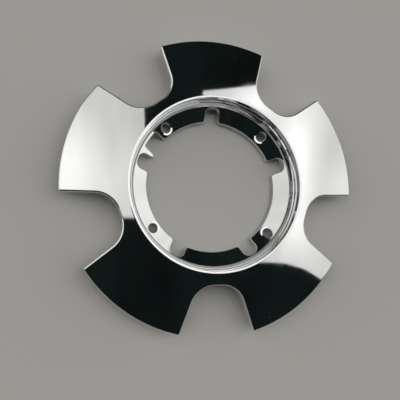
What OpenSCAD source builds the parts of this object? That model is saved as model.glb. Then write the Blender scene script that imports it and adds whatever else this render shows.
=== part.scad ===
// Five-armed wheel centre cap: one bright moulding, open in the middle.
// A crowned star carries a stepped ring, and a dished flange closes the ring to a round opening.
// The frame's origin is the centre of the rear collar, on the face that meets the wheel.
// +Z points to the front of the cap, and +Y runs along the first arm.

/* [Star] */
// Radius of the circle that the arm tips lie on
tip_r = 80; // [76:0.5:90]
// Number of arms
arm_count = 5; // [4:1:6]
// Distance from the axis to the floor of the gap between two arms
gap_floor = 52.7; // [51:0.1:56]
// Radius of the rounded corners of that gap
gap_r = 12.8; // [8:0.2:14]
// Width of the flat stretch between those corners
gap_flat = 4; // [2:0.5:6]
// Angle between one side of the gap and the gap's centre line
gap_flare = 20; // [14:0.5:24]

/* [Crown] */
// Radius of the sphere that the front of the arms follows
crown_r = 430; // [300:10:700]
// Height of the arm tips above the seating face
tip_z = 10.4; // [9.8:0.1:13]
// Wall of the star, measured under the crown
shell_t = 2.4; // [1.8:0.1:3]
// Radius of the soft edge around the arm tips
tip_edge_r = 0.8; // [0.4:0.1:1.2]
// Depth of the turned-down edge below the arm tips
skirt_d = 4; // [3.2:0.1:6]
// Wall of the turned-down edge
skirt_t = 2.2; // [1.6:0.1:2.8]

/* [Ring] */
// Radius of the bore that holds the round badge
badge_r = 45.4; // [45.2:0.1:46]
// Width of the rounded rim around that bore
rim_w = 1.2; // [0.8:0.1:1.8]
// Height of the rim above the arm tips
rim_h = 7.3; // [6.4:0.1:8]
// Depth of the badge bore below the top of the rim
badge_d = 4.6; // [3.6:0.1:5]
// Radius of the middle step inside the ring
step_r = 44.6; // [44.2:0.1:45]
// Depth of that step below the badge bore
step_d = 2.1; // [1.2:0.1:2.6]
// Radius of the throat below the steps, which is also the bore of the rear collar
throat_r = 43.4; // [43.2:0.1:44]
// Radius of the soft edges inside the ring
soft_r = 0.4; // [0.2:0.05:0.5]
// Wall of the rear collar
collar_t = 2.4; // [1.8:0.1:3]

/* [Flange] */
// Width of the dished flange, from the throat to the round opening in the middle
flange_w = 7.6; // [6.8:0.1:8.2]
// Slope of the dished flange
flange_slope = 34; // [20:1:36]
// Height of the top of the flange at the throat, above the seating face
flange_z = 8.6; // [8.4:0.1:9.4]
// Thickness of the flange
flange_t = 2.4; // [1.8:0.1:2.6]
// Radius of the fillet between flange and throat
flange_fillet = 1; // [0.5:0.1:1.5]
// Width of each notch in the flange
notch_w = 8.3; // [7:0.1:9.6]
// Radius of the corners at the end of each notch
notch_r = 3.2; // [1:0.1:3.4]
// Distance from the end of each notch to the throat
notch_gap = 0.7; // [0.3:0.1:1.4]
// Directions of the notches, counted from +X
notch_angles = [18, 90, 162, 240, 300]; // [0:1:360]
// Radius of the corners where a notch or the keyway opens into the middle
mouth_r = 1.4; // [0.6:0.1:1.8]
// Diameter of the round holes in the flange
hole_d = 5; // [4:0.1:5.6]
// Distance from the throat to the centres of those holes
hole_in = 3.4; // [3.1:0.1:3.7]
// Directions of those holes, counted from +X
hole_angles = [45, 130, 215, 320]; // [0:1:360]
// Width of the strip of flange that the wide keyway leaves along the throat
key_gap = 1.3; // [0.6:0.1:2.4]
// Width of the keyway
key_w = 10.2; // [8:0.1:10.4]
// Direction of the keyway, counted from +X
key_angle = 144.8; // [144:0.1:146]
// Radius of the keyway's corners at its outer end
key_corner_r = 1.2; // [0.5:0.1:1.5]
// Radius of the keyway's corner at the middle opening, on its side with the lesser angle
key_mouth_r = 2.6; // [1:0.1:2.8]

/* [Ribs] */
// Thickness of the ribs behind the arms
rib_t = 1.6; // [1:0.1:2]
// Distance between the two long ribs of one arm
rib_gap = 22; // [14:1:26]
// Distance from the axis to the cross rib that joins them
cross_rib_at = 64; // [60:0.5:70]
// Distance that the ribs stay behind the turned-down edge
rib_back = 0.8; // [0.5:0.1:1.5]

/* [Hidden] */

cut = 1;
lap = 0.01;
fine = 360;
arc_steps = 8;
crown_steps = 14;
hollow_steps = 6;
first_arm = 90;
arm_pitch = 360 / arm_count;
crown_cz = tip_z - sqrt(pow(crown_r, 2) - pow(tip_r, 2));
skirt_z = tip_z - skirt_d;
rim_z = tip_z + rim_h;
badge_z = rim_z - badge_d;
step_z = badge_z - step_d;
rim_mid = badge_r + rim_w / 2;
rim_out = badge_r + rim_w;
collar_out = throat_r + collar_t;
shoulder_r = badge_r + shell_t;
shoulder_foot = step_z - (shoulder_r - collar_out);
opening_r = throat_r - flange_w;
notch_end = throat_r - notch_gap;
hole_at = throat_r - hole_in;
key_r = throat_r - key_gap;
flange_drop = flange_w * tan(flange_slope);
flange_plumb = flange_t / cos(flange_slope);
top_z = rim_z + cut;
far_r = tip_r + gap_r;

// Height of a sphere about the crown's centre at a distance from the axis
function crown_at(x, drop = 0) = crown_cz + sqrt(pow(crown_r - drop, 2) - pow(x, 2));

// Points along an arc about c, from angle a to angle b
function arc(c, r, a, b) =
    [for (i = [0 : arc_steps]) c + r * [cos(a + (b - a) * i / arc_steps), sin(a + (b - a) * i / arc_steps)]];

// Points along the crown, or along a sphere that runs drop below it, from distance a to distance b
function crown_line(a, b, steps, drop = 0) =
    [for (i = [0 : steps]) let (x = a + (b - a) * i / steps) [x, crown_at(x, drop)]];

// Half section of the crowned disc, between the skirt's lower edge and the crown
module crown_section() {
    edge_c = [tip_r - tip_edge_r, crown_at(tip_r - tip_edge_r, tip_edge_r)];
    edge_turn = acos(edge_c.x / (crown_r - tip_edge_r));
    polygon(concat(
        [[collar_out, skirt_z], [tip_r, skirt_z]],
        arc(edge_c, tip_edge_r, 0, edge_turn),
        crown_line(crown_r * cos(edge_turn), rim_mid, crown_steps),
        [[rim_mid, step_z], [collar_out, shoulder_foot]]
    ));
}

// Half section of the space behind the crown, inside the turned-down edge
module hollow_section() {
    polygon(concat(
        [[collar_out, -cut], [tip_r - skirt_t, -cut]],
        crown_line(tip_r - skirt_t, shoulder_r, hollow_steps, shell_t),
        [[shoulder_r, step_z], [collar_out, shoulder_foot]]
    ));
}

// Outline of the gap between two arms, along +X, moved outwards by grow on every side.
// Its straight sides sit lap inside its round corners, so they cross them and don't only touch them
module gap_outline(grow) {
    corner = [gap_floor + gap_r, gap_flat / 2];
    reach = gap_r + grow;
    tangent = corner + (reach - lap) * [-sin(gap_flare), cos(gap_flare)];
    mouth = tangent + far_r * [cos(gap_flare), sin(gap_flare)];
    for (side = [-1, 1])
        translate([corner.x, side * corner.y]) circle(r = reach, $fn = fine);
    translate([corner.x - reach + lap, -corner.y]) square([reach, gap_flat]);
    polygon([
        [corner.x, -corner.y], [tangent.x, -tangent.y], [mouth.x, -mouth.y],
        mouth, tangent, corner
    ]);
}

// The gaps between the arms, as upright prisms
module gaps(grow) {
    for (i = [0 : arm_count - 1])
        rotate(first_arm + (i + 0.5) * arm_pitch)
            translate([0, 0, -cut]) linear_extrude(top_z + 2 * cut) gap_outline(grow);
}

// Section of the ring, its steps, the dished flange and the rear collar, from the axis outwards
module ring_section() {
    lip_z = flange_z - flange_drop;
    blend = tan(45 - flange_slope / 2);
    lip_c = [opening_r + soft_r, lip_z - soft_r * blend];
    fillet_c = [throat_r - flange_fillet, flange_z + flange_fillet * blend];
    rim_c = [rim_mid, rim_z - rim_w / 2];
    polygon(concat(
        [[opening_r, lip_z - flange_plumb]],
        arc(lip_c, soft_r, 180, 90 + flange_slope),
        arc(fillet_c, flange_fillet, flange_slope - 90, 0),
        arc([throat_r + soft_r, step_z - soft_r], soft_r, 180, 90),
        [[step_r, step_z]],
        arc([step_r + soft_r, badge_z - soft_r], soft_r, 180, 90),
        [[badge_r, badge_z]],
        arc(rim_c, rim_w / 2, 180, 0),
        [
            [rim_out, crown_at(rim_out) - shell_t / 2],
            [shoulder_r, crown_at(shoulder_r) - shell_t / 2],
            [shoulder_r, step_z], [collar_out, shoulder_foot],
            [collar_out, 0], [throat_r, 0],
            [throat_r, flange_z - flange_plumb]
        ]
    ));
}

// Ribs behind one arm, along +X: two long ones and one that crosses them
module arm_ribs() {
    foot_z = skirt_z + rib_back;
    for (side = [-1, 1])
        translate([0, side * rib_gap / 2 - rib_t / 2, foot_z]) cube([tip_r, rib_t, top_z]);
    translate([cross_rib_at - rib_t / 2, -tip_r / 2, foot_z]) cube([rib_t, tip_r, top_z]);
}

// Everything hollow behind the crown, with the ribs left standing
module hollow() {
    difference() {
        rotate_extrude($fn = fine) hollow_section();
        gaps(skirt_t);
        for (i = [0 : arm_count - 1]) rotate(first_arm + i * arm_pitch) arm_ribs();
    }
}

// Rounded corner between the lip and the side of an opening in the flange, on the side of +Y.
// Its circle is lap too large, so it crosses lip and side and doesn't only touch them
module mouth_corner(half_w, r) {
    c = [sqrt(pow(opening_r + r, 2) - pow(half_w + r, 2)), half_w + r];
    difference() {
        polygon([[opening_r / 2, 0], [c.x, 0], c, c / 2]);
        translate(c) circle(r = r + lap, $fn = fine);
    }
}

// The two sides of an opening in the flange, along +X, from inside the middle opening out to
// distance end, with corners of radius low_r and high_r at the lip
module open_sides(half_w, end, low_r, high_r) {
    start = opening_r / 2;
    translate([start, lap - half_w]) square([end - start, 2 * (half_w - lap)]);
    mouth_corner(half_w, high_r);
    mirror([0, 1]) mouth_corner(half_w, low_r);
}

// Outline of one notch, along +X, with rounded corners at the wall
module notch_outline() {
    corner = [notch_end - notch_r, notch_w / 2 - notch_r];
    for (side = [-1, 1])
        translate([corner.x, side * corner.y]) circle(r = notch_r, $fn = fine);
    translate([corner.x, -corner.y]) square([notch_r - lap, 2 * corner.y]);
    open_sides(notch_w / 2, corner.x, mouth_r, mouth_r);
}

// Notches in the flange, one towards each arm or close to it
module notches() {
    for (a = notch_angles)
        rotate(a) translate([0, 0, -cut]) linear_extrude(step_z + cut) notch_outline();
}

// Round holes beside the wall
module round_holes() {
    for (a = hole_angles)
        rotate(a) translate([hole_at, 0, -cut]) cylinder(h = step_z + cut, d = hole_d, $fn = fine);
}

// Outline of the wide keyway, along +X, which leaves a narrow strip of flange along the wall
module keyway_outline() {
    corner_y = key_w / 2 - key_corner_r;
    corner = [sqrt(pow(key_r - key_corner_r, 2) - pow(corner_y, 2)), corner_y];
    for (side = [-1, 1])
        translate([corner.x, side * corner.y]) circle(r = key_corner_r, $fn = fine);
    intersection() {
        circle(r = key_r - lap, $fn = fine);
        polygon([[0, 0], 2 * corner, [2 * corner.x, -2 * corner.y]]);
    }
    open_sides(key_w / 2, corner.x, key_mouth_r, mouth_r);
}

// The keyway, cut through the flange
module keyway() {
    rotate(key_angle) translate([0, 0, -cut]) linear_extrude(step_z + cut) keyway_outline();
}

// The whole moulding
module centre_cap() {
    color("silver") difference() {
        union() {
            difference() {
                rotate_extrude($fn = fine) crown_section();
                gaps(0);
                hollow();
            }
            rotate_extrude($fn = fine) ring_section();
        }
        notches();
        round_holes();
        keyway();
    }
}

centre_cap();
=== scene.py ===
"""Looks of a bright-plated wheel centre cap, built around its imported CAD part.

Lengths are in millimetres while shapes are worked out, and become metres when a mesh is made.
The frame is the part's own: the origin is the centre of the rear collar on the face that meets
the wheel, +Z points to the front and +Y runs along the first arm.
"""

import logging
import math
from dataclasses import dataclass, field
from enum import Enum
from functools import partial
from typing import Any, Callable

import bpy
import numpy as np
from mathutils import Matrix, Vector
from mathutils.geometry import delaunay_2d_cdt

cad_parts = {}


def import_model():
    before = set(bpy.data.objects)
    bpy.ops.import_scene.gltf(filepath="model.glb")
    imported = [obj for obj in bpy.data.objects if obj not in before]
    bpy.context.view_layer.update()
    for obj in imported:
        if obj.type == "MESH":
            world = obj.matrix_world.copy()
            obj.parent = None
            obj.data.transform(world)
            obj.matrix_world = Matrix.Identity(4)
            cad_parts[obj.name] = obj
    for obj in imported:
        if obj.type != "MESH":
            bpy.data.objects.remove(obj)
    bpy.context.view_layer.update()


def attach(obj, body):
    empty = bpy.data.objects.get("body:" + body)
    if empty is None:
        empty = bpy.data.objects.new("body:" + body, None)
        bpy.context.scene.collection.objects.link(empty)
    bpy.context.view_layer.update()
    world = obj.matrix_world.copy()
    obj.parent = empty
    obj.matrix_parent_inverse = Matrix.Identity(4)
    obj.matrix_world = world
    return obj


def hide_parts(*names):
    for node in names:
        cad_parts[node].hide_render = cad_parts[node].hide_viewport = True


LOG = logging.getLogger("centre_cap")
MM = 0.001
DECIMALS = 3  # outlines are rounded to a micrometre, so that patches on both sides of one meet
SHARPEST = 0.03  # least radius of an outline's corner, in millimetres
LEAST_LENGTH = 1e-12  # keeps a vector of no length from being divided by nothing
ONE_PLACE = 1e-6  # distance at which two points of a flat area are the same, in millimetres


class Side(Enum):
    """The way a surface looks: to the cap's front, or to its back."""

    FRONT = 1.0
    BACK = -1.0


# ---------------------------------------------------------------- plain geometry


def unit(v: np.ndarray) -> np.ndarray:
    """Scales each row vector to length one.

    Args:
        v: Vectors along the last axis.

    Returns:
        The same vectors divided by their lengths.
    """
    return v / np.maximum(np.linalg.norm(v, axis=-1, keepdims=True), LEAST_LENGTH)


def direction(degrees: np.ndarray | float) -> np.ndarray:
    """Unit vectors in the plane, at angles counted from +X.

    Args:
        degrees: Angles in degrees.

    Returns:
        An array with (cosine, sine) along its last axis.
    """
    a = np.radians(degrees)
    return np.stack([np.cos(a), np.sin(a)], -1)


def turn(points: np.ndarray, degrees: float) -> np.ndarray:
    """Turns plane points about the origin.

    Args:
        points: Points with x and y along the last axis.
        degrees: Angle, counted anticlockwise.

    Returns:
        The turned points.
    """
    c, s = math.cos(math.radians(degrees)), math.sin(math.radians(degrees))
    return points @ np.array([[c, s], [-s, c]])


def level(plane: np.ndarray) -> np.ndarray:
    """Adds a height of zero to plane vectors."""
    return np.concatenate([plane, np.zeros(plane.shape[:-1] + (1,))], -1)


def inside(loop: np.ndarray, points: np.ndarray) -> np.ndarray:
    """Tells which points lie inside a closed loop, by counting the edges to their right.

    Args:
        loop: Corners of the loop, in order.
        points: Points to test.

    Returns:
        One truth value for each point.
    """
    x0, y0 = loop.T
    x1, y1 = np.roll(loop, -1, 0).T
    px, py = points[:, :1], points[:, 1:]
    spans = (y0 > py) != (y1 > py)
    with np.errstate(divide="ignore", invalid="ignore"):
        cross = x0 + (py - y0) * (x1 - x0) / (y1 - y0) > px
    return (np.sum(spans & cross, 1) % 2) == 1


@dataclass
class Line:
    """Points along a profile or an outline, each with the direction that its surface looks in."""

    points: np.ndarray
    normals: np.ndarray

    def then(self, other: "Line") -> "Line":
        """Joins another line to this one's end, and drops the point that both have.

        Args:
            other: The line that comes after this one.

        Returns:
            The joined line.
        """
        return Line(
            np.concatenate([self.points, other.points[1:]]),
            np.concatenate([self.normals, other.normals[1:]]),
        )

    def turned(self, degrees: float) -> "Line":
        """Turns the line about the axis."""
        return Line(turn(self.points, degrees), turn(self.normals, degrees))

    def mirrored(self) -> "Line":
        """Mirrors the line in the X axis and runs it backwards."""
        flip = np.array([1.0, -1.0])
        return Line((self.points * flip)[::-1], (self.normals * flip)[::-1])


def arc(
    centre: tuple, radius: float, start: float, end: float, steps: int, outward: bool = True
) -> Line:
    """Part of a circle: centre plus radius times (cosine, sine) of an angle from start to end.

    Args:
        centre: Centre in the plane.
        radius: Radius.
        start: First angle in degrees.
        end: Last angle in degrees.
        steps: Number of chords.
        outward: True if the surface looks away from the centre.

    Returns:
        The line.
    """
    d = direction(np.linspace(start, end, steps + 1))
    return Line(np.array(centre) + radius * d, d if outward else -d)


def straight(start: np.ndarray, end: np.ndarray, steps: int, left: bool = True) -> Line:
    """Evenly spaced points from start to end.

    Args:
        start: First point in the plane.
        end: Last point.
        steps: Number of pieces.
        left: True if the surface looks to the left of the way it runs.

    Returns:
        The line.
    """
    start, end = np.array(start, float), np.array(end, float)
    t = np.linspace(0, 1, steps + 1)[:, None]
    along = unit(end - start)
    look = np.array([-along[1], along[0]]) * (1.0 if left else -1.0)
    return Line(start + (end - start) * t, np.repeat(look[None], steps + 1, 0))


def strip_faces(rows: int, columns: int, closed: bool) -> np.ndarray:
    """Two triangles for each cell of a grid of points, kept row by row.

    Args:
        rows: Number of rows of points.
        columns: Number of points in a row.
        closed: True if each row runs round to its own start.

    Returns:
        Corner numbers, three for each triangle.
    """
    j = np.arange(columns if closed else columns - 1)
    i = np.arange(rows - 1)[:, None]
    a, b = i * columns + j, i * columns + (j + 1) % columns
    c, d = a + columns, b + columns
    return np.stack([a, b, d, a, d, c], -1).reshape(-1, 3)


def fill(loops: list[np.ndarray], loose: np.ndarray) -> tuple[np.ndarray, np.ndarray]:
    """Fills a flat area with triangles whose edges keep to given loops.

    Args:
        loops: Closed rings of points.
        loose: More points, which lie anywhere.

    Returns:
        The points, and the corner numbers of all triangles between them.
    """
    edges, count = [], 0
    for loop in loops:
        k = np.arange(len(loop))
        edges.append(np.stack([k, (k + 1) % len(loop)], -1) + count)
        count += len(loop)
    corners = [Vector(p) for p in np.concatenate([*loops, loose]).tolist()]
    out = delaunay_2d_cdt(corners, np.concatenate(edges).tolist(), [], 0, ONE_PLACE, False)
    return np.array([tuple(v) for v in out[0]]), np.array([list(f) for f in out[2]])


# ---------------------------------------------------------------- one closed surface from patches


def weld(points: np.ndarray, cell: float = 0.01) -> tuple[np.ndarray, np.ndarray]:
    """Joins points that lie almost in one place.

    Space is cut into small cells, once for each of eight half-cell shifts. Points that share a cell
    in any of them take the lowest number among them.

    Args:
        points: Points in millimetres.
        cell: Size of a cell.

    Returns:
        The points that are left, and the place in them of each given point.
    """
    label = np.arange(len(points))
    shifts = np.stack(np.meshgrid([0.0, 0.5], [0.0, 0.5], [0.0, 0.5]), -1).reshape(-1, 3)
    span = 1 << 20
    for shift in np.concatenate([shifts, shifts]):
        k = np.floor(points / cell + shift).astype(np.int64) + span // 2
        key = (k[:, 0] * span + k[:, 1]) * span + k[:, 2]
        where = np.unique(key, return_inverse=True)[1].ravel()
        lowest = np.full(where.max() + 1, len(points))
        np.minimum.at(lowest, where, label)
        label = lowest[where]
    kept, where = np.unique(label, return_inverse=True)
    return points[kept], where.ravel()


@dataclass
class Skin:
    """Collects patches of surface and welds them into one closed mesh.

    Every patch brings the direction that each of its points looks in, worked out from its formula,
    so the mirror finish shows the true surface and not the flat triangles.
    """

    points: list = field(default_factory=list)
    normals: list = field(default_factory=list)
    faces: list = field(default_factory=list)
    count: int = 0

    def add(self, points: np.ndarray, normals: np.ndarray, faces: np.ndarray) -> None:
        """Adds a patch, and turns each triangle to look the way its corners do.

        Args:
            points: Points in millimetres.
            normals: One direction for each point.
            faces: Corner numbers within this patch.
        """
        points, normals = points.reshape(-1, 3), unit(normals.reshape(-1, 3))
        a, b, c = (points[faces[:, k]] for k in range(3))
        flat = np.cross(b - a, c - a)
        turned = np.sum(flat * normals[faces].sum(1), 1) < 0
        faces = np.where(turned[:, None], faces[:, ::-1], faces)
        self.points.append(points)
        self.normals.append(normals)
        self.faces.append(faces + self.count)
        self.count += len(points)

    def object(self, name: str) -> bpy.types.Object:
        """Welds the patches and makes the object, with its place in its mesh.

        Args:
            name: Name of the object and its mesh.

        Returns:
            The new object, linked to the scene.
        """
        points, normals = np.concatenate(self.points), np.concatenate(self.normals)
        faces = np.concatenate(self.faces)
        keys, where = weld(points)
        welded = where[faces]
        whole = np.all(welded != np.roll(welded, -1, 1), 1)
        faces, welded = faces[whole], welded[whole]
        mesh = bpy.data.meshes.new(name)
        mesh.vertices.add(len(keys))
        mesh.vertices.foreach_set("co", (keys * MM).astype(np.float32).ravel())
        mesh.loops.add(welded.size)
        mesh.loops.foreach_set("vertex_index", welded.astype(np.int32).ravel())
        mesh.polygons.add(len(welded))
        mesh.polygons.foreach_set("loop_start", np.arange(0, welded.size, 3, dtype=np.int32))
        mesh.polygons.foreach_set("loop_total", np.full(len(welded), 3, np.int32))
        mesh.polygons.foreach_set("use_smooth", np.ones(len(welded), bool))
        mesh.update(calc_edges=True)
        mesh.normals_split_custom_set(normals[faces].reshape(-1, 3).tolist())
        mesh.update()
        sides = [welded[:, [0, 1]], welded[:, [1, 2]], welded[:, [2, 0]]]
        edges = np.sort(np.concatenate(sides), 1)
        odd = int(np.sum(np.unique(edges, axis=0, return_counts=True)[1] != 2))
        LOG.info("%s: %d triangles, %d edges that don't have two sides", name, len(welded), odd)
        piece = bpy.data.objects.new(name, mesh)
        bpy.context.scene.collection.objects.link(piece)
        return piece


def revolve(skin: Skin, profile: Line, angles: np.ndarray) -> None:
    """Turns a profile about the axis.

    A point (r, z) of the profile becomes (r cos a, r sin a, z) at every angle a.

    Args:
        skin: Surface that takes the patch.
        profile: Points (r, z), with directions in the same plane.
        angles: Angles in degrees, rising, round the whole circle.
    """
    d = direction(angles)

    def spun(rz: np.ndarray) -> np.ndarray:
        """Turns (r, z) rows to every angle."""
        height = np.broadcast_to(rz[:, None, 1:], (len(rz), len(d), 1))
        return np.concatenate([rz[:, None, :1] * d[None], height], -1)

    faces = strip_faces(len(profile.points), len(d), True)
    skin.add(spun(profile.points), spun(profile.normals), faces)


# ---------------------------------------------------------------- the cap's sizes


@dataclass(frozen=True)
class Spread:
    """How loose points lie in a face, in millimetres.

    They have their own spacing, and keep a distance from the face's outer edge and its inner ones.
    """

    spacing: float
    off_outer: float
    off_inner: float


@dataclass(frozen=True)
class Star:
    """Sizes of the crowned star, in millimetres and degrees."""

    tip_r: float = 79.99
    arms: int = 5
    gap_floor: float = 52.7
    gap_r: float = 12.8
    gap_flat: float = 4.0
    gap_flare: float = 20.0
    crown_r: float = 430.0
    tip_z: float = 10.4
    wall: float = 2.4
    skirt_d: float = 4.0
    skirt_t: float = 2.2
    corner_r: float = 0.9
    edge_r: float = 0.95
    low_edge: float = 0.3
    front_spread: Spread = Spread(2.0, 0.9, 0.6)
    back_spread: Spread = Spread(3.0, 1.2, 1.0)

    @property
    def centre_z(self) -> float:
        """Height of the crown's centre."""
        return self.tip_z - math.sqrt(self.crown_r**2 - self.tip_r**2)

    @property
    def skirt_z(self) -> float:
        """Height of the turned-down edge's lower end."""
        return self.tip_z - self.skirt_d

    def crown(self, xy: np.ndarray, drop: float = 0.0) -> np.ndarray:
        """Height of the crown, z = c + sqrt((R - drop)^2 - x^2 - y^2), at plane points."""
        return self.centre_z + np.sqrt((self.crown_r - drop) ** 2 - np.sum(xy**2, -1))

    def crown_at(self, radius: float, drop: float = 0.0) -> float:
        """Height of the crown at one distance from the axis."""
        return float(self.crown(np.array([radius, 0.0]), drop))

    def underside(self, xy: np.ndarray) -> tuple[np.ndarray, np.ndarray]:
        """Puts plane points on the turned-down edge's lower end.

        Args:
            xy: Plane points.

        Returns:
            The points, and the downward directions there.
        """
        points = level(xy) + np.array([0.0, 0.0, self.skirt_z])
        return points, np.broadcast_to(np.array([0.0, 0.0, -1.0]), points.shape)

    def lift(self, xy: np.ndarray, drop: float = 0.0) -> tuple[np.ndarray, np.ndarray]:
        """Puts plane points on the crown.

        Args:
            xy: Plane points.
            drop: Distance that the surface lies below the crown.

        Returns:
            The points, and the crown's directions there.
        """
        z = self.crown(xy, drop)[..., None]
        points = np.concatenate([xy, z], -1)
        return points, unit(points - np.array([0.0, 0.0, self.centre_z]))

    def outline(self, inset: float) -> Line:
        """The star's closed outline, moved into the material by an inset.

        Half of one gap runs along its flat floor, round its corner circle, along its straight side,
        round the arm's corner and along the tip circle to the middle of the arm. The other half
        is its mirror image, and the pair is repeated for each arm.

        Args:
            inset: Distance that the outline moves into the material.

        Returns:
            Plane points and outward directions, anticlockwise.
        """
        flare = self.gap_flare
        corner = np.array([self.gap_floor + self.gap_r, self.gap_flat / 2])
        reach = self.gap_r + inset
        side = np.array([-math.sin(math.radians(flare)), math.cos(math.radians(flare))])
        along = np.array([side[1], -side[0]])
        soft = max(self.corner_r - inset, SHARPEST)
        start = corner + (reach + soft) * side
        b = float(start @ along)
        t = -b + math.sqrt(b * b + (self.tip_r - inset - soft) ** 2 - float(start @ start))
        centre = start + t * along
        tip_at = math.degrees(math.atan2(centre[1], centre[0]))
        floor = corner[0] - reach
        half = straight((floor, 0), (floor, corner[1]), steps=3, left=False)
        half = half.then(arc(tuple(corner), reach, 180, 90 + flare, steps=30, outward=False))
        half = half.then(straight(half.points[-1], centre - soft * side, steps=18, left=False))
        half = half.then(arc(tuple(centre), soft, flare - 90, tip_at, steps=8))
        half = half.then(arc((0, 0), self.tip_r - inset, tip_at, 180 / self.arms, steps=24))
        whole = half.mirrored().then(half)
        pitch = 360 / self.arms
        parts = [whole.turned(90 + (i + 0.5) * pitch) for i in range(self.arms)]
        return Line(
            np.round(np.concatenate([p.points[:-1] for p in parts]), DECIMALS),
            np.concatenate([p.normals[:-1] for p in parts]),
        )


@dataclass(frozen=True)
class Ring:
    """Sizes of the rim, the steps inside it and the rear collar, in millimetres."""

    rim_z: float = 17.7
    rim_w: float = 1.2
    foot_r: float = 0.15
    badge_r: float = 45.4
    badge_z: float = 13.1
    step_r: float = 44.6
    step_z: float = 11.0
    throat_r: float = 43.4
    outer_edge: float = 0.14
    inner_edge: float = 0.2
    seat_slope: float = 60.0
    ledge: float = 0.32
    seat_edge: float = 0.1
    collar_t: float = 2.4
    shoulder_t: float = 2.4
    flange_fillet: float = 0.55
    back_edge: float = 0.3
    count: int = 480

    @property
    def angles(self) -> np.ndarray:
        """Angles of the ring's corners round the axis, in degrees."""
        return np.arange(self.count) * 360 / self.count

    def seat(self, outer: float, inner: float, z: float) -> list[tuple[float, float]]:
        """Profile of one step: a narrow ledge, and a steep cone whose middle lies on the step.

        Args:
            outer: Radius of the wall above the step.
            inner: Radius of the wall below it.
            z: Height of the step.

        Returns:
            Its three corners (r, z), from the wall above to the wall below.
        """
        half = (outer - self.ledge - inner) / 2 * math.tan(math.radians(self.seat_slope))
        return [(outer, z + half), (outer - self.ledge, z + half), (inner, z - half)]


@dataclass(frozen=True)
class Cut:
    """One opening in the flange that runs out to the middle: a notch or the keyway.

    Lengths are in millimetres. The keyway ends in an arc about the axis, a notch in a flat.
    """

    at: float
    width: float = 8.3
    end: float = 42.7
    corner: float = 3.2
    round_end: bool = False
    lower_mouth: float = 1.4
    upper_mouth: float = 1.4


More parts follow.
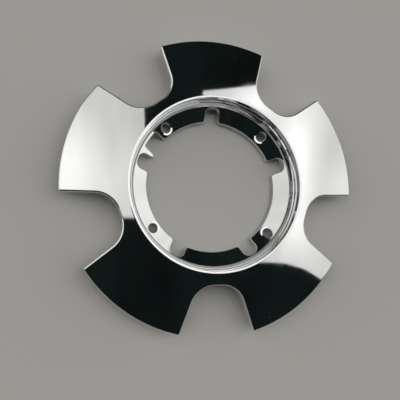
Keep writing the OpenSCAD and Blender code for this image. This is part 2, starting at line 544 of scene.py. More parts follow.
@dataclass(frozen=True)
class Flange:
    """Sizes of the dished flange and its openings, in millimetres and degrees."""

    opening_r: float = 35.8
    edge_at: float = 43.12
    slope: float = 34.0
    spread: Spread = Spread(0.8, 0.4, 0.35)
    lip_step: float = 0.9
    root_z: float = 8.6
    root_r: float = 43.4
    thickness: float = 2.4
    lip_edge: float = 0.3
    hole_edge: float = 0.4
    hole_r: float = 2.4
    hole_at: float = 40.0
    pad_r: float = 3.3
    pad_at: float = 39.6
    pad_level_at: float = 38.5
    pad_blend: float = 0.25
    pad_rows: int = 9
    holes: tuple = (45.0, 130.0, 215.0, 320.0)
    cuts: tuple = (
        Cut(18.0),
        Cut(90.0),
        Cut(144.8, 10.2, 42.1, 1.2, True, lower_mouth=2.6, upper_mouth=0.5),
        Cut(162.0, lower_mouth=0.5),
        Cut(240.0),
        Cut(300.0),
    )

    @property
    def plumb(self) -> float:
        """Thickness of the flange, measured straight down."""
        return self.thickness / math.cos(math.radians(self.slope))

    def height_at(self, radius: float, drop: float = 0.0) -> float:
        """Height of the cone at one distance from the axis."""
        return float(self.lift(np.array([radius, 0.0]), drop)[0][2])

    def lift(self, xy: np.ndarray, drop: float = 0.0) -> tuple[np.ndarray, np.ndarray]:
        """Puts plane points on the cone z = z0 - (r0 - r) tan(slope) - drop.

        Args:
            xy: Plane points.
            drop: Distance straight down from the flange's front.

        Returns:
            The points, and the cone's upward directions there.
        """
        a = math.radians(self.slope)
        r = np.hypot(xy[..., 0], xy[..., 1])[..., None]
        z = self.root_z - (self.root_r - r) * math.tan(a) - drop
        out = xy / np.maximum(r, LEAST_LENGTH)
        normals = np.concatenate([-math.sin(a) * out, np.full_like(r, math.cos(a))], -1)
        return np.concatenate([xy, z], -1), normals

    def pad(self, xy: np.ndarray, drop: float = 0.0) -> tuple[np.ndarray, np.ndarray]:
        """Puts plane points on the front near a round hole, where a level pad meets the cone.

        With h the pad's height over the cone and b the blend, the front lies (h + b)^2 / 4 b over
        the cone while h is between -b and b. Above that it is the pad, and below that the cone.

        Args:
            xy: Plane points.
            drop: Distance straight down from the front.

        Returns:
            The points, and the upward directions there.
        """
        cone = self.lift(xy)[0]
        rise = self.height_at(self.pad_level_at) - cone[..., 2:]
        share = np.clip((rise + self.pad_blend) / (2 * self.pad_blend), 0, 1)
        over = np.where(rise > self.pad_blend, rise, self.pad_blend * share**2)
        slope = (1 - share) * math.tan(math.radians(self.slope))
        out = xy / np.hypot(xy[..., 0], xy[..., 1])[..., None]
        points = np.concatenate([xy, cone[..., 2:] + over - drop], -1)
        return points, unit(np.concatenate([-slope * out, np.ones_like(slope)], -1))

    def half_cut(self, cut: Cut, mouth: float, inset: float) -> tuple[Line, float]:
        """Half of an opening's outline, from the middle of its end to the lip.

        Args:
            cut: The opening, taken to lie along +X.
            mouth: Radius of the rounded corner between its side and the lip.
            inset: Distance that the outline moves into the material.

        Returns:
            The line on the side of rising angles, and the angle where it meets the lip.
        """
        half_w, big = cut.width / 2, cut.corner + inset
        cy = half_w - cut.corner
        if cut.round_end:
            cx = math.sqrt((cut.end - cut.corner) ** 2 - cy**2)
            turn_at = math.degrees(math.atan2(cy, cx))
            line = arc((0, 0), cut.end + inset, 0, turn_at, steps=12, outward=False)
        else:
            cx, turn_at = cut.end - cut.corner, 0.0
            line = straight((cut.end + inset, 0), (cut.end + inset, cy), steps=4)
        line = line.then(arc((cx, cy), big, turn_at, 90, steps=14, outward=False))
        my = half_w + mouth
        mx = math.sqrt((self.opening_r + mouth) ** 2 - my**2)
        lip_at = math.degrees(math.atan2(my, mx))
        side_y = half_w + inset
        line = line.then(straight((cx, side_y), (mx, side_y), steps=8))
        soft = max(mouth - inset, SHARPEST)
        return line.then(arc((mx, my), soft, 270, 180 + lip_at, steps=10)), lip_at

    def outline(self, inset: float) -> Line:
        """The closed edge of the flange towards the middle, with its notches and its keyway.

        Args:
            inset: Distance that the outline moves into the material.

        Returns:
            Plane points and the directions in which the wall there looks, anticlockwise.
        """
        parts, ends = [], []
        for cut in self.cuts:
            lower, lower_at = self.half_cut(cut, cut.lower_mouth, inset)
            upper, upper_at = self.half_cut(cut, cut.upper_mouth, inset)
            parts.append(lower.mirrored().then(upper).turned(cut.at))
            ends.append((cut.at - lower_at, cut.at + upper_at))
        points, normals = [], []
        for k, part in enumerate(parts):
            start, end = ends[k][1], ends[(k + 1) % len(ends)][0]
            end += 360.0 if end < start - 180.0 else 0.0
            steps = max(2, int(round((end - start) / self.lip_step)))
            lip = arc((0, 0), self.opening_r + inset, start, end, steps, False)
            points += [part.points, lip.points[1:-1]]
            normals += [part.normals, lip.normals[1:-1]]
        return Line(np.round(np.concatenate(points), DECIMALS), np.concatenate(normals))

    def hole(self, at: float, inset: float) -> Line:
        """One round hole's edge, moved into the material by an inset."""
        return self.round_edge(self.hole_at * direction(at), self.hole_r + inset)

    def pad_rim(self, at: float) -> Line:
        """Edge of the level pad round one hole."""
        return self.round_edge(self.pad_at * direction(at), self.pad_r)

    @staticmethod
    def round_edge(centre: np.ndarray, radius: float) -> Line:
        """A closed circle in the flange, with directions towards its centre."""
        ring = arc(tuple(centre), radius, 0, 360, steps=72, outward=False)
        return Line(np.round(ring.points[:-1], DECIMALS), ring.normals[:-1])


@dataclass(frozen=True)
class Ribs:
    """Sizes of the ribs behind the arms, in millimetres."""

    thickness: float = 1.6
    apart: float = 22.0
    cross_at: float = 64.0
    cross_half: float = 25.2
    back: float = 0.8
    cross_back: float = 0.1
    sections: int = 17


# ---------------------------------------------------------------- the cap's surface


def rounded(corners: list, radii: list, steps: int = 7, left: bool = True) -> Line:
    """A polyline with rounded corners, as a profile (r, z).

    Args:
        corners: Corners of the polyline, its two ends included.
        radii: Radius at each corner. It isn't used at the ends, and 0 leaves a corner sharp.
        steps: Number of chords in each round corner.
        left: True if the surface looks to the left of the way the line runs.

    Returns:
        The line. A sharp corner has one point for each of its two directions.
    """
    corners = np.array(corners, float)
    sign = 1.0 if left else -1.0
    way = unit(np.diff(corners, axis=0))
    look = sign * np.stack([-way[:, 1], way[:, 0]], -1)
    points, normals = [corners[:1]], [look[:1]]
    for k in range(1, len(corners) - 1):
        opening = math.acos(float(np.clip(-way[k - 1] @ way[k], -1, 1))) / 2
        cut = radii[k] / math.tan(opening)
        t = np.linspace(0, 1, steps + 1 if radii[k] else 2)[:, None]
        swing = math.pi - 2 * opening
        blend = np.sin((1 - t) * swing) * look[k - 1] + np.sin(t * swing) * look[k]
        blend = blend / math.sin(swing)
        bend = 1.0 if (way[k - 1][0] * way[k][1] - way[k - 1][1] * way[k][0]) * sign < 0 else -1.0
        centre = corners[k] - way[k - 1] * cut - bend * radii[k] * look[k - 1]
        points.append(centre + bend * radii[k] * blend)
        normals.append(blend)
    points.append(corners[-1:])
    normals.append(look[-1:])
    return Line(np.concatenate(points), np.concatenate(normals))


def roll(edge: float, steps: int = 7) -> list[tuple[float, float, float, float]]:
    """Rows of a quarter-round edge, from the wall up to the face.

    Row k stands at the angle a = 90 k / steps: it lies edge (1 - cos a) inside the wall and
    edge (1 - sin a) below the face, and looks outwards by cos a and the face's way by sin a.

    Args:
        edge: Radius of the edge.
        steps: Number of steps.

    Returns:
        Inset, drop, outward share and the face's share of each row.
    """
    a = np.radians(np.linspace(0, 90, steps + 1))
    return list(zip(edge * (1 - np.cos(a)), edge * (1 - np.sin(a)), np.cos(a), np.sin(a)))


def lattice(reach: float, spacing: float) -> np.ndarray:
    """Points of a triangular lattice.

    Its rows lie sqrt(3/4) of the spacing apart, and every other row is shifted by half a spacing.

    Args:
        reach: Half the width of the square around the origin that the lattice covers.
        spacing: Distance between neighbours.

    Returns:
        Plane points.
    """
    n = int(reach / spacing) + 1
    i, j = np.meshgrid(np.arange(-n, n + 1), np.arange(-n, n + 1))
    plan = np.stack([(i + 0.5 * (j % 2)) * spacing, j * spacing * math.sqrt(0.75)], -1)
    return plan.reshape(-1, 2)


def circle(radius: float, count: int) -> np.ndarray:
    """Closed ring of evenly spaced plane points, starting on +X."""
    return np.round(radius * direction(np.arange(count) * 360 / count), DECIMALS)


@dataclass
class CentreCap:
    """The whole moulding: crowned star, stepped ring, dished flange, rear collar and ribs.

    foot_at is the distance from the axis at which the crown passes into the foot of the ring.
    """

    star: Star = field(default_factory=Star)
    ring: Ring = field(default_factory=Ring)
    flange: Flange = field(default_factory=Flange)
    ribs: Ribs = field(default_factory=Ribs)
    foot_at: float = 47.6

    def build(self, name: str) -> bpy.types.Object:
        """Makes the cap as one object.

        Args:
            name: Name of the object.

        Returns:
            The object, without a material.
        """
        skin = Skin()
        self.star_front(skin)
        self.star_walls(skin)
        self.star_back(skin)
        self.ring_front(skin)
        self.collar(skin)
        self.flange_faces(skin)
        self.flange_edges(skin)
        for arm in range(self.star.arms):
            self.arm_ribs(skin, 90 + arm * 360 / self.star.arms)
        return skin.object(name)

    def edge_band(
        self,
        skin: Skin,
        edge: float,
        outline: Callable[[float], Line],
        face: Callable[[np.ndarray], tuple[np.ndarray, np.ndarray]],
        side: Side = Side.FRONT,
    ) -> None:
        """Rolls an edge over from a wall to a face.

        Args:
            skin: Surface that takes the patch.
            edge: Radius of the edge.
            outline: Gives the closed outline at an inset.
            face: Gives the face's points and directions at plane points.
            side: The way the face looks.
        """
        rows = roll(edge)
        points, normals = [], []
        for inset, drop, out_share, face_share in rows:
            line = outline(inset)
            where, look = face(line.points)
            points.append(where - np.array([0.0, 0.0, drop * side.value]))
            normals.append(unit(out_share * level(line.normals) + face_share * look))
        skin.add(np.array(points), np.array(normals), strip_faces(len(rows), len(points[0]), True))

    def wall(
        self, skin: Skin, line: Line, top: np.ndarray, bottom: np.ndarray, look: float = 1.0
    ) -> None:
        """Upright wall along a closed outline.

        Args:
            skin: Surface that takes the patch.
            line: Outline and its outward directions.
            top: Height of the wall's upper edge at each point.
            bottom: Height of its lower edge.
            look: 1 if the wall looks along the outline's directions, -1 if against them.
        """
        height = np.stack([top, (top + bottom) / 2, bottom])[..., None]
        plan = np.broadcast_to(line.points, (3,) + line.points.shape)
        flat = level(line.normals) * look
        skin.add(
            np.concatenate([plan, height], -1),
            np.broadcast_to(flat, (3,) + flat.shape),
            strip_faces(3, len(line.points), True),
        )

    def star_sheet(self, skin: Skin, inset: float, foot: float, side: Side) -> None:
        """One side of the star's wall, between its outline and a circle round the ring.

        Args:
            skin: Surface that takes the patch.
            inset: Distance of its outer edge from the star's own.
            foot: Radius of the circle.
            side: The way the sheet looks.
        """
        star, front = self.star, side is Side.FRONT
        spread = star.front_spread if front else star.back_spread
        loop, ring = star.outline(inset).points, circle(foot, self.ring.count)
        loose = lattice(star.tip_r, spread.spacing)
        within = inside(star.outline(inset + spread.off_outer).points, loose)
        loose = loose[within & (np.hypot(*loose.T) > foot + spread.off_inner)]
        points, faces = fill([loop, ring], loose)
        middle = points[faces].mean(1)
        faces = faces[inside(loop, middle) & ~inside(ring, middle)]
        where, up = star.lift(np.round(points, DECIMALS), 0.0 if front else star.wall)
        skin.add(where, up * side.value, faces)

    def star_front(self, skin: Skin) -> None:
        """The crown, from its rolled edge to the foot of the rim.

        Args:
            skin: Surface that takes the patches.
        """
        star = self.star
        self.edge_band(skin, star.edge_r, star.outline, star.lift)
        self.star_sheet(skin, star.edge_r, self.foot_at, Side.FRONT)

    def star_walls(self, skin: Skin) -> None:
        """The outer wall, its rolled lower edge, the lower rim and the inner wall.

        Args:
            skin: Surface that takes the patches.
        """
        star = self.star
        outer, inner = star.outline(0.0), star.outline(star.skirt_t)
        low = np.full(len(outer.points), star.skirt_z)
        self.wall(skin, outer, star.crown(outer.points) - star.edge_r, low + star.low_edge)
        self.edge_band(skin, star.low_edge, star.outline, star.underside, Side.BACK)
        plan = np.stack([star.outline(star.low_edge).points, inner.points])
        skin.add(*star.underside(plan), strip_faces(2, plan.shape[1], True))
        self.wall(skin, inner, star.crown(inner.points, star.wall), low, -1.0)

    def star_back(self, skin: Skin) -> None:
        """The hollow's ceiling, a sphere that runs one wall below the crown.

        Args:
            skin: Surface that takes the patch.
        """
        foot = self.ring.badge_r + self.ring.shoulder_t
        self.star_sheet(skin, self.star.skirt_t, foot, Side.BACK)

    def ring_front(self, skin: Skin) -> None:
        """The rim, the badge bore, the steps and the throat, down to the flange.

        Args:
            skin: Surface that takes the patch.
        """
        star, ring, flange = self.star, self.ring, self.flange
        out_r = ring.badge_r + ring.rim_w
        corners = [
            (self.foot_at, star.crown_at(self.foot_at)),
            (out_r, star.crown_at(out_r)),
            (out_r, ring.rim_z),
            (ring.badge_r, ring.rim_z),
            *ring.seat(ring.badge_r, ring.step_r, ring.badge_z),
            *ring.seat(ring.step_r, ring.throat_r, ring.step_z),
            (ring.throat_r, flange.root_z),
            (flange.edge_at, flange.height_at(flange.edge_at)),
        ]
        seats = [ring.seat_edge] * 6
        radii = [0, ring.foot_r, ring.outer_edge, ring.inner_edge, *seats, ring.flange_fillet, 0]
        revolve(skin, rounded(corners, radii, left=False), ring.angles)

    def collar(self, skin: Skin) -> None:
        """The shoulder behind the ring, the collar and the back of the throat.

        Args:
            skin: Surface that takes the patch.
        """
        star, ring, flange = self.star, self.ring, self.flange
        shoulder = ring.badge_r + ring.shoulder_t
        out_r = ring.throat_r + ring.collar_t
        corners = [
            (shoulder, star.crown_at(shoulder, star.wall)),
            (shoulder, ring.step_z),
            (out_r, ring.step_z - (shoulder - out_r)),
            (out_r, 0.0),
            (ring.throat_r, 0.0),
            (ring.throat_r, flange.height_at(ring.throat_r, flange.plumb)),
            (flange.edge_at, flange.height_at(flange.edge_at, flange.plumb)),
        ]
        radii = [0, *[ring.back_edge] * 5, 0]
        revolve(skin, rounded(corners, radii, steps=4), ring.angles)

    def flange_faces(self, skin: Skin) -> None:
        """Front and back of the flange, between its fillet, its lip and its holes.

        Args:
            skin: Surface that takes the patches.
        """
        flange = self.flange
        rim = circle(flange.edge_at, self.ring.count)
        pads = [flange.pad_rim(at).points for at in flange.holes]
        holes = [flange.hole(at, 0.0).points for at in flange.holes]
        self.flange_sheet(skin, rim, flange.lip_edge, pads, Side.FRONT)
        self.flange_sheet(skin, rim, 0.0, holes, Side.BACK)

    def flange_sheet(
        self, skin: Skin, rim: np.ndarray, inset: float, gaps: list[np.ndarray], side: Side
    ) -> None:
        """One side of the flange.

        Args:
            skin: Surface that takes the patch.
            rim: Outer circle.
            inset: Distance of its inner edge from the flange's own.
            gaps: Circles round the holes, which stay open.
            side: The way the sheet looks.
        """
        flange, spread = self.flange, self.flange.spread
        lip = flange.outline(inset).points
        loose = lattice(flange.edge_at, spread.spacing)
        keep = np.hypot(*loose.T) < flange.edge_at - spread.off_outer
        keep &= ~inside(flange.outline(inset + spread.off_inner).points, loose)
        for gap in gaps:
            centre = gap.mean(0)
            radius = np.hypot(*(gap[0] - centre))
            keep &= np.hypot(*(loose - centre).T) > radius + spread.off_inner
        points, faces = fill([rim, lip, *gaps], loose[keep])
        middle = points[faces].mean(1)
        kept = inside(rim, middle) & ~inside(lip, middle)
        for gap in gaps:
            kept &= ~inside(gap, middle)
        drop = 0.0 if side is Side.FRONT else flange.plumb
        where, up = flange.lift(np.round(points, DECIMALS), drop)
        skin.add(where, up * side.value, faces[kept])

    def flange_edges(self, skin: Skin) -> None:
        """Rolled edges and walls of the notches, the keyway, the lip and the round holes.

        Args:
            skin: Surface that takes the patches.
        """
        flange = self.flange
        outlines = [(flange.outline, flange.lip_edge, flange.lift)]
        for at in flange.holes:
            outlines.append((partial(flange.hole, at), flange.hole_edge, flange.pad))
        for outline, edge, front in outlines:
            self.edge_band(skin, edge, outline, front)
            line = outline(0.0)
            top = front(line.points)[0][:, 2] - edge
            bottom = flange.lift(line.points, flange.plumb)[0][:, 2]
            self.wall(skin, line, top, bottom)
        for at in flange.holes:
            self.hole_pad(skin, at)

    def hole_pad(self, skin: Skin, at: float) -> None:
        """The level pad round one hole, which stands out of the cone on the side of the axis.

        Args:
            skin: Surface that takes the patches.
            at: Direction of the hole.
        """
        flange = self.flange
        edge, rim = flange.hole(at, flange.hole_edge).points, flange.pad_rim(at)
        share = np.linspace(0, 1, flange.pad_rows)[:, None, None]
        points, up = flange.pad(edge + (rim.points - edge) * share)
        skin.add(points, up, strip_faces(len(share), len(edge), True))
        self.wall(skin, rim, points[-1, :, 2], flange.lift(rim.points)[0][:, 2], -1.0)

    def arm_ribs(self, skin: Skin, at: float) -> None:
        """Three ribs behind one arm, each a closed bar whose ends and top lie inside the walls.

        Args:
            skin: Surface that takes the patches.
            at: Direction of the arm.
        """
        ribs, star = self.ribs, self.star
        buried = star.skirt_t / 2
        start = self.ring.throat_r + self.ring.collar_t / 2
        side, half = ribs.apart / 2, ribs.cross_half
        reach = math.sqrt((star.tip_r - buried) ** 2 - side**2)
        low = star.skirt_z + ribs.back
        bars = [((start, s * side), (reach, s * side), low) for s in (-1.0, 1.0)]
        bars.append(((ribs.cross_at, -half), (ribs.cross_at, half), low + ribs.cross_back))
        for first, last, back_z in bars:
            first, last = np.array(first), np.array(last)
            along = unit(last - first)
            across = np.array([-along[1], along[0]]) * ribs.thickness / 2
            middle = first + np.linspace(0, 1, ribs.sections)[:, None] * (last - first)
            plan = np.stack([middle - across, middle + across, middle + across, middle - across], 1)
            back, front = np.full(ribs.sections, back_z), star.crown(middle) - buried
            z = np.stack([back, back, front, front], 1)
            self.bar(skin, np.concatenate([turn(plan, at), z[..., None]], -1))

    def bar(self, skin: Skin, rings: np.ndarray) -> None:
        """A closed bar with flat sides from a row of four-cornered sections.

        Args:
            skin: Surface that takes the patches.
            rings: Sections along the bar, four corners each.
        """
        inner = rings.mean(1, keepdims=True)
        for k in range(4):
            side = rings[:, [k, (k + 1) % 4]]
            look = unit(side.mean(1, keepdims=True) - inner)
            skin.add(side, np.repeat(look, 2, 1), strip_faces(len(rings), 2, False))
        for end, other in ((0, 1), (-1, -2)):
            look = np.repeat(unit(inner[end] - inner[other]), 4, 0)
            skin.add(rings[end], look, np.array([[0, 1, 2], [0, 2, 3]]))


# ---------------------------------------------------------------- finish


Feed = bpy.types.NodeSocket | float | tuple  # what an input takes: a link or a value


@dataclass(frozen=True)
class Pattern:
    """Settings of a noise.

    Scale is in waves for each metre of a place, or for each unit of a direction. Fineness is the
    share of each finer layer. Stretch scales the place along the three axes and turned turns it.
    """

    scale: float = 1.0
    detail: float = 1.0
    fineness: float = 0.5
    stretch: tuple | None = None
    turned: tuple = (0.0, 0.0, 0.0)


@dataclass(frozen=True)
class Plate:
    """Look of the bright plating.

    The waves are the slow unevenness that makes straight reflections wander, in millimetres across
    and in height. Haze is the roughness that touch leaves on parts of the plating, where it also
    turns the colour a little towards the dull one.
    """

    colour: tuple = (0.80, 0.81, 0.825, 1.0)
    dull_colour: tuple = (0.68, 0.69, 0.70, 1.0)
    dull_share: float = 0.12
    roughness: float = 0.035
    haze: float = 0.05
    speck_roughness: float = 0.35
    wave_size: float = 26.0
    wave_height: float = 0.012
    waves: Pattern = Pattern(detail=1.0, fineness=0.35)


@dataclass(frozen=True)
class Marks:
    """Handling marks: broad smudges, wiping streaks and specks of dust.

    A mark shows where its noise lies in the given range, and its share is what it adds to the mask.
    Specks are dots in cells whose random value is over speck_above. Their radius is in cells.
    """

    smudges: Pattern = Pattern(38.0, 5.0, 0.62)
    smudge_range: tuple = (0.5, 0.72)
    smudge_share: float = 0.75
    streaks: Pattern = Pattern(1.0, 3.0, 0.55, (90.0, 320.0, 90.0), (0.0, 0.0, 0.6))
    streak_range: tuple = (0.52, 0.75)
    streak_share: float = 0.35
    speck_scale: float = 420.0
    speck_r: float = 0.055
    speck_above: float = 0.9


class Socket(Enum):
    """Kinds of node sockets used in groups."""

    VALUE = "NodeSocketFloat"
    VECTOR = "NodeSocketVector"


@dataclass
class Tree:
    """A short way to add and link shader nodes."""

    tree: bpy.types.NodeTree

    def add(self, kind: str, **values: Any) -> bpy.types.Node:
        """Adds a node, sets its properties, and sets or links its inputs.

        Args:
            kind: Blender's name of the node type.
            **values: Properties by name, and inputs by number or name after a leading "in_", with
                "_" for a space.

        Returns:
            The node.
        """
        node = self.tree.nodes.new(kind)
        for key, value in values.items():
            if not key.startswith("in_"):
                setattr(node, key, value)
        for key, value in values.items():
            if key.startswith("in_"):
                name = key[3:].replace("_", " ")
                socket = node.inputs[int(name)] if name.isdigit() else node.inputs[name]
                if isinstance(value, bpy.types.NodeSocket):
                    self.tree.links.new(value, socket)
                else:
                    socket.default_value = value
        return node

    def maths(
        self, operation: str, first: Feed, second: Feed = 0.0, third: Feed = 0.0
    ) -> bpy.types.NodeSocket:
        """Adds a Math node and gives its output."""
        node = self.add("ShaderNodeMath", operation=operation, in_0=first, in_1=second, in_2=third)
        return node.outputs[0]

    def vector(self, operation: str, first: Feed, second: Feed) -> bpy.types.NodeSocket:
        """Adds a Vector Math node and gives its output, which is a number for a dot product."""
        node = self.add("ShaderNodeVectorMath", operation=operation, in_0=first, in_1=second)
        return node.outputs["Value" if operation == "DOT_PRODUCT" else "Vector"]

    def scaled(self, colour: tuple, by: bpy.types.NodeSocket) -> bpy.types.NodeSocket:
        """Adds a Vector Math node that scales a colour, and gives its output."""
        node = self.add("ShaderNodeVectorMath", operation="SCALE", in_0=colour, in_Scale=by)
        return node.outputs["Vector"]

    def ramp(
        self, value: Feed, start: float, end: float, to: tuple | None = None
    ) -> bpy.types.NodeSocket:
        """Adds a Map Range node.

        Args:
            value: What it reads.
            start: Value at which the ramp starts.
            end: Value at which it ends.
            to: The ramp's two ends, for a straight ramp. Without them it runs smoothly from 0 to 1.

        Returns:
            The node's output.
        """
        low, high = to or (0.0, 1.0)
        node = self.add(
            "ShaderNodeMapRange",
            interpolation_type="LINEAR" if to else "SMOOTHSTEP",
            in_Value=value,
            in_From_Min=start,
            in_From_Max=end,
            in_To_Min=low,
            in_To_Max=high,
        )
        return node.outputs[0]

    def noise(
        self, place: Feed, pattern: Pattern, scale: bpy.types.NodeSocket | None = None
    ) -> bpy.types.NodeSocket:
        """Adds a Noise Texture node, behind a Mapping node where its place is stretched.

        Args:
            place: Place or direction that it reads.
            pattern: Its settings.
            scale: Takes the place of the pattern's own scale.

        Returns:
            The node's value.
        """
        if pattern.stretch:
            there = self.add("ShaderNodeMapping", in_Vector=place, in_Scale=pattern.stretch)
            there.inputs["Rotation"].default_value = pattern.turned
            place = there.outputs[0]
        node = self.add(
            "ShaderNodeTexNoise",
            in_Vector=place,
            in_Scale=scale or pattern.scale,
            in_Detail=pattern.detail,
            in_Roughness=pattern.fineness,
        )
        return node.outputs[0]


def smudge_group(marks: Marks) -> bpy.types.NodeTree:
    """Node group that gives masks of faint smudges and of dust specks on a touched surface.

    Args:
        marks: Sizes and strengths of the marks.

    Returns:
        A group with Object coordinates in and two masks out.
    """
    group = bpy.data.node_groups.new("handling_marks", "ShaderNodeTree")
    group.interface.new_socket("Place", in_out="INPUT", socket_type=Socket.VECTOR.value)
    group.interface.new_socket("Smudge", in_out="OUTPUT", socket_type=Socket.VALUE.value)
    group.interface.new_socket("Speck", in_out="OUTPUT", socket_type=Socket.VALUE.value)
    t = Tree(group)
    place = t.add("NodeGroupInput").outputs["Place"]
    out = t.add("NodeGroupOutput")
    broad, fine = t.noise(place, marks.smudges), t.noise(place, marks.streaks)
    patches = t.ramp(broad, *marks.smudge_range)
    lines = t.maths("MULTIPLY", t.ramp(fine, *marks.streak_range), marks.streak_share)
    smudge = t.maths("MULTIPLY_ADD", patches, marks.smudge_share, lines)
    cells = t.add("ShaderNodeTexVoronoi", in_Vector=place, in_Scale=marks.speck_scale)
    near = t.maths("LESS_THAN", cells.outputs["Distance"], marks.speck_r)
    chance = t.add("ShaderNodeSeparateColor", in_0=cells.outputs["Color"]).outputs[0]
    some = t.maths("GREATER_THAN", chance, marks.speck_above)
    group.links.new(smudge, out.inputs["Smudge"])
    group.links.new(t.maths("MULTIPLY", near, some), out.inputs["Speck"])
    return group


def wave_group(waves: Pattern) -> bpy.types.NodeTree:
    """Node group that gives the height, in metres, of the slow waves in moulded and plated faces.

    Args:
        waves: Settings of the waves, whose scale comes in through the group.

    Returns:
        A group with Object coordinates, the waves' size and their depth in, and their height out.
    """
    group = bpy.data.node_groups.new("moulding_waves", "ShaderNodeTree")
    group.interface.new_socket("Place", in_out="INPUT", socket_type=Socket.VECTOR.value)
    group.interface.new_socket("Size", in_out="INPUT", socket_type=Socket.VALUE.value)
    group.interface.new_socket("Depth", in_out="INPUT", socket_type=Socket.VALUE.value)
    group.interface.new_socket("Height", in_out="OUTPUT", socket_type=Socket.VALUE.value)
    t = Tree(group)
    given, out = t.add("NodeGroupInput"), t.add("NodeGroupOutput")
    scale = t.maths("DIVIDE", 1.0, given.outputs["Size"])
    slow = t.noise(given.outputs["Place"], waves, scale)
    height = t.maths("MULTIPLY", slow, given.outputs["Depth"])
    group.links.new(height, out.inputs["Height"])
    return group


def plate_material(finish: Plate, marks: Marks) -> bpy.types.Material:
    """Mirror-bright plating with slow waves, faint smudges and a little dust.

    Args:
        finish: The finish's values.
        marks: The handling marks on it.

    Returns:
        The material.
    """
    material = bpy.data.materials.new("bright_plate")
    material.use_nodes = True
    t = Tree(material.node_tree)
    material.node_tree.nodes.clear()
    place = t.add("ShaderNodeTexCoord").outputs["Object"]
    touched = t.add("ShaderNodeGroup", node_tree=smudge_group(marks), in_Place=place)
    smudge, speck = touched.outputs["Smudge"], touched.outputs["Speck"]
    waves = t.add(
        "ShaderNodeGroup",
        node_tree=wave_group(finish.waves),
        in_Place=place,
        in_Size=finish.wave_size * MM,
        in_Depth=finish.wave_height * MM,
    )
    height = waves.outputs["Height"]
    bump = t.add("ShaderNodeBump", in_Strength=1.0, in_Distance=1.0, in_Height=height)
    rough = t.maths("MULTIPLY_ADD", smudge, finish.haze, finish.roughness)
    rough = t.maths("MULTIPLY_ADD", speck, finish.speck_roughness, rough)
    dull = t.add(
        "ShaderNodeMix", data_type="RGBA", in_Factor=t.maths("MULTIPLY", smudge, finish.dull_share)
    )
    first, second = (socket for socket in dull.inputs if socket.type == "RGBA")
    first.default_value, second.default_value = finish.colour, finish.dull_colour
    shader = t.add(
        "ShaderNodeBsdfPrincipled",
        in_Base_Color=next(socket for socket in dull.outputs if socket.type == "RGBA"),
        in_Metallic=1.0,
        in_Roughness=rough,
        in_Normal=bump.outputs[0],
    )
    out = t.add("ShaderNodeOutputMaterial")
    material.node_tree.links.new(shader.outputs[0], out.inputs[0])
    return material


# ---------------------------------------------------------------- studio


@dataclass(frozen=True)
class Card:
    """A card or a lamp in the light tent, as a region of directions.

    Each edge is (a, b, c, limit), and the card lies where a x + b y + c z is over the limit for
    every edge. Soft is the width of its blurred border, and gain is what it does to the tent's
    brightness: 0 for a black card, more than 1 for a lamp.
    """

    edges: tuple
    soft: float = 0.008
    gain: float = 0.0


@dataclass(frozen=True)
class Glow:
    """A soft bright place in the tent's front half.

    It adds gain times exp(-(dx / reach x)^2 - (dy / reach y)^2). A negative gain dims the place.
    """

    centre: tuple
    reach: tuple
    gain: float


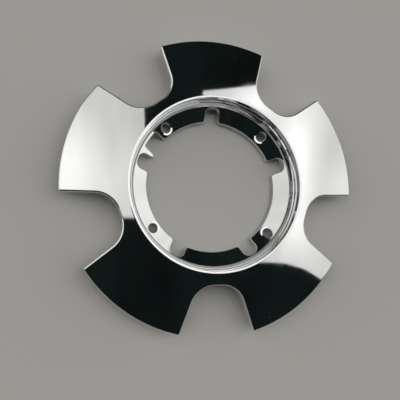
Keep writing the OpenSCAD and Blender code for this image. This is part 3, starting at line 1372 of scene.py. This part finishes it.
@dataclass(frozen=True)
class Studio:
    """Camera, floor and light tent.

    The clip distances and the floor are in metres. The tent's brightness wanders between the two
    values of bright while its clouds run through their range, and by streak either way in streaks.
    """

    camera_mm: tuple = (-59.72, -32.05, 230.14)
    turn_vector: tuple = (-0.105197401, 0.228628722, -0.000910134)
    lens_mm: float = 38.75
    sensor_mm: float = 36.0
    clip: tuple = (0.01, 20.0)
    floor_half: float = 3.0
    floor_colour: tuple = (0.72, 0.71, 0.69, 1.0)
    floor_roughness: float = 0.9
    floor_specular: float = 0.1
    dark: tuple = (0.0065, 0.0095, 0.0092)
    tint: tuple = (1.0, 0.985, 0.95)
    bright: tuple = (0.70, 0.86)
    clouds: Pattern = Pattern(1.7, 2.5, stretch=(1.9, 0.7, 0.7))
    cloud_range: tuple = (0.3, 0.7)
    streak: float = 0.1
    streaks: Pattern = Pattern(1.0, 2.0, stretch=(15.0, 2.6, 2.6))
    glows: tuple = (
        Glow((-0.42, 0.19), (0.15, 0.25), 0.48),
        Glow((-0.09, 0.42), (0.06, 0.1), -0.12),
        Glow((-0.17, 0.2), (0.06, 0.12), 0.08),
        Glow((0.43, 0.5), (0.12, 0.08), 0.5),
        Glow((0.6, 0.2), (0.07, 0.2), 0.6),
        Glow((0.62, 0.36), (0.1, 0.12), 0.1),
        Glow((0.72, 0.3), (0.06, 0.12), -0.15),
        Glow((0.8, 0.12), (0.06, 0.1), 0.15),
        Glow((0.6, -0.06), (0.08, 0.12), 0.28),
        Glow((0.25, 0.135), (0.22, 0.22), 0.75),
    )
    cards: tuple = (
        Card(((1, 0, 0, -0.07), (-1, 0, 0, -0.195), (0, 1, 0, 0.38))),
        Card(((1, 0, 0, 0.18), (-1, 0, 0, -0.62), (-0.06, 1, 0, 0.534))),
        Card(((0, 1, 0, 0.7),), 0.05),
        Card(((0, -1, 0, 0.213), (-0.25, -1, 0, 0.073), (-0.6, -1, 0, -0.15), (1, 0, 0, 0.0))),
        Card(((-1, 0, 0, -0.12), (1, 0, 0, -0.6), (0, -1, 0, 0.02), (0, 0, 1, 0.75)), 0.02),
        Card(((-1, 0, 0, -0.1), (0, -1, 0, 0.2)), 0.02),
        Card(((0, -1, 0, 0.52),), 0.05),
        Card(((1, 0, 0, 0.77), (0, 1, 0, 0.33), (0, 0, 1, 0.36)), 0.04),
        Card(((0, 0, -1, -0.5),), 0.15, 1.25),
    )

    def place_camera(self) -> None:
        """Puts the camera where the photograph was taken from."""
        data = bpy.data.cameras.new("camera")
        data.lens, data.sensor_width = self.lens_mm, self.sensor_mm
        data.clip_start, data.clip_end = self.clip
        camera = bpy.data.objects.new("camera", data)
        bpy.context.scene.collection.objects.link(camera)
        vector = Vector(self.turn_vector)
        facing = Matrix.Rotation(vector.length, 3, vector.normalized()).transposed()
        camera.matrix_world = Matrix.Translation(Vector(self.camera_mm) * MM) @ facing.to_4x4()
        bpy.context.scene.camera = camera

    def lay_floor(self) -> None:
        """Plain pale floor under the cap."""
        half = self.floor_half
        mesh = bpy.data.meshes.new("floor")
        corners = [(-half, -half, 0), (half, -half, 0), (half, half, 0), (-half, half, 0)]
        mesh.from_pydata(corners, [], [(0, 1, 2, 3)])
        floor = bpy.data.objects.new("floor", mesh)
        bpy.context.scene.collection.objects.link(floor)
        material = bpy.data.materials.new("floor")
        material.use_nodes = True
        shader = material.node_tree.nodes["Principled BSDF"]
        shader.inputs["Base Color"].default_value = self.floor_colour
        shader.inputs["Roughness"].default_value = self.floor_roughness
        shader.inputs["Specular IOR Level"].default_value = self.floor_specular
        mesh.materials.append(material)

    def glow_height(self, t: Tree, way: bpy.types.NodeSocket, glow: Glow) -> bpy.types.NodeSocket:
        """Adds the nodes of one soft bright place.

        Args:
            t: The world's nodes.
            way: Direction that a ray takes.
            glow: The bright place.

        Returns:
            What it adds to the tent's brightness.
        """
        off = t.vector("SUBTRACT", way, (*glow.centre, 0.0))
        share = t.vector("MULTIPLY", off, (1 / glow.reach[0], 1 / glow.reach[1], 0.0))
        fall = t.maths("POWER", math.exp(-1.0), t.vector("DOT_PRODUCT", share, share))
        height = t.add("ShaderNodeSeparateXYZ", in_Vector=way).outputs["Z"]
        front = t.maths("GREATER_THAN", height, 0.0)
        return t.maths("MULTIPLY", t.maths("MULTIPLY", fall, glow.gain), front)

    def card_mask(self, t: Tree, way: bpy.types.NodeSocket, card: Card) -> bpy.types.NodeSocket:
        """Adds the nodes of one card.

        Args:
            t: The world's nodes.
            way: Direction that a ray takes.
            card: The card.

        Returns:
            1 where the ray meets the card, 0 where it doesn't, and a value between on its border.
        """
        mask = 1.0
        for *axis, limit in card.edges:
            along = t.vector("DOT_PRODUCT", way, tuple(axis))
            edge = t.ramp(along, limit - card.soft / 2, limit + card.soft / 2)
            mask = t.maths("MULTIPLY", edge, mask)
        return mask

    def hang_tent(self) -> None:
        """Lights the scene with a white tent of slightly uneven brightness, and its cards."""
        world = bpy.data.worlds.new("tent")
        bpy.context.scene.world = world
        world.use_nodes = True
        world.node_tree.nodes.clear()
        t = Tree(world.node_tree)
        way = t.add("ShaderNodeTexCoord").outputs["Generated"]
        clouds, streaks = t.noise(way, self.clouds), t.noise(way, self.streaks)
        white = t.ramp(clouds, *self.cloud_range, to=self.bright)
        streaks = t.maths("SUBTRACT", streaks, 0.5)
        white = t.maths("MULTIPLY_ADD", streaks, 2 * self.streak, white)
        for glow in self.glows:
            white = t.maths("ADD", white, self.glow_height(t, way, glow))
        for card in self.cards:
            gain = t.maths("MULTIPLY_ADD", self.card_mask(t, way, card), card.gain - 1.0, 1.0)
            white = t.maths("MULTIPLY", white, gain)
        shade = t.scaled(self.dark, t.maths("MULTIPLY", clouds, 2.0))
        colour = t.vector("ADD", t.scaled(self.tint, white), shade)
        light = t.add("ShaderNodeBackground", in_Color=colour)
        out = t.add("ShaderNodeOutputWorld")
        world.node_tree.links.new(light.outputs[0], out.inputs[0])


def main() -> None:
    """Builds the dressed cap and its studio."""
    logging.basicConfig(level=logging.INFO, format="%(name)s: %(message)s")
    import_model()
    bpy.context.scene.view_settings.view_transform = "Standard"
    studio = Studio()
    studio.place_camera()
    piece = CentreCap().build("cap_plate")
    piece.data.materials.append(plate_material(Plate(), Marks()))
    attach(piece, "root")
    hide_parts("centre_cap")
    studio.lay_floor()
    studio.hang_tent()


if __name__ == "__main__":
    main()
